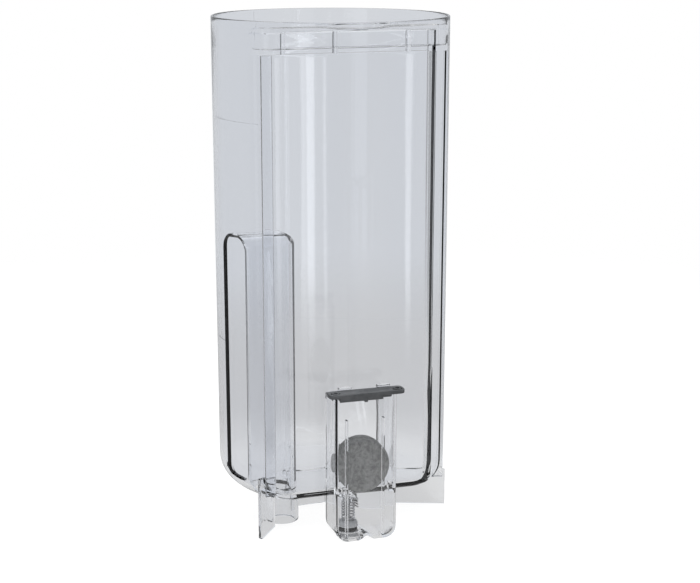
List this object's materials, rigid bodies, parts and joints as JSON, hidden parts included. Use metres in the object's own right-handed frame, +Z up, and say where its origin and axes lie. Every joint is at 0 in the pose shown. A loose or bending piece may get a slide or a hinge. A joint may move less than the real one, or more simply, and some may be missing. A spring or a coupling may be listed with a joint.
{
  "type": "removable water tank",
  "caption": "Tall clear open-topped water tank with a flat front, a float chamber with a dark cap, a sprung outlet valve and a guide pocket.",
  "frame": {"origin": "on the vessel's axis, on the plane that the tank stands on", "axes": "+Z up along the vessel's axis, the flat panel and float chamber face -Y, +X to the right seen from in front"},
  "size_m": [0.12, 0.12, 0.26],
  "materials": {
    "clear_shell": "clear moulded styrene plastic with a faint blue-grey tint",
    "clear_chamber": "clear moulded plastic, polished",
    "cap_plastic": "fine satin moulded charcoal plastic",
    "float_plastic": "mottled grey foam-filled plastic",
    "magnet": "dull black ferrite",
    "valve_plastic": "natural grey moulded plastic",
    "seal_rubber": "black moulded seal rubber",
    "spring_steel": "drawn stainless spring wire"
  },
  "bodies": {
    "tank": {"tank_shell": "clear_shell", "float_chamber": "clear_chamber", "chamber_cap": "cap_plastic", "valve_seat": "valve_plastic", "outlet_o_ring": "seal_rubber", "valve_guide": "clear_chamber", "valve_spring": "spring_steel"},
    "float": {"float_front_shell": "float_plastic", "float_rear_shell": "float_plastic", "float_magnet": "magnet"},
    "valve": {"valve_poppet": "valve_plastic", "poppet_seal": "seal_rubber"}
  },
  "joints": [
    {"name": "float_rise", "type": "slide", "parent": "tank", "child": "float", "axis": [0, 0, 1], "range_m": [0, 0.02]},
    {"name": "valve_lift", "type": "slide", "parent": "tank", "child": "valve", "axis": [0, 0, 1], "range_m": [0, 0.003], "stiffness_N_per_m": 150, "springref_m": -0.006, "deforming": ["valve_spring"]}
  ]
}
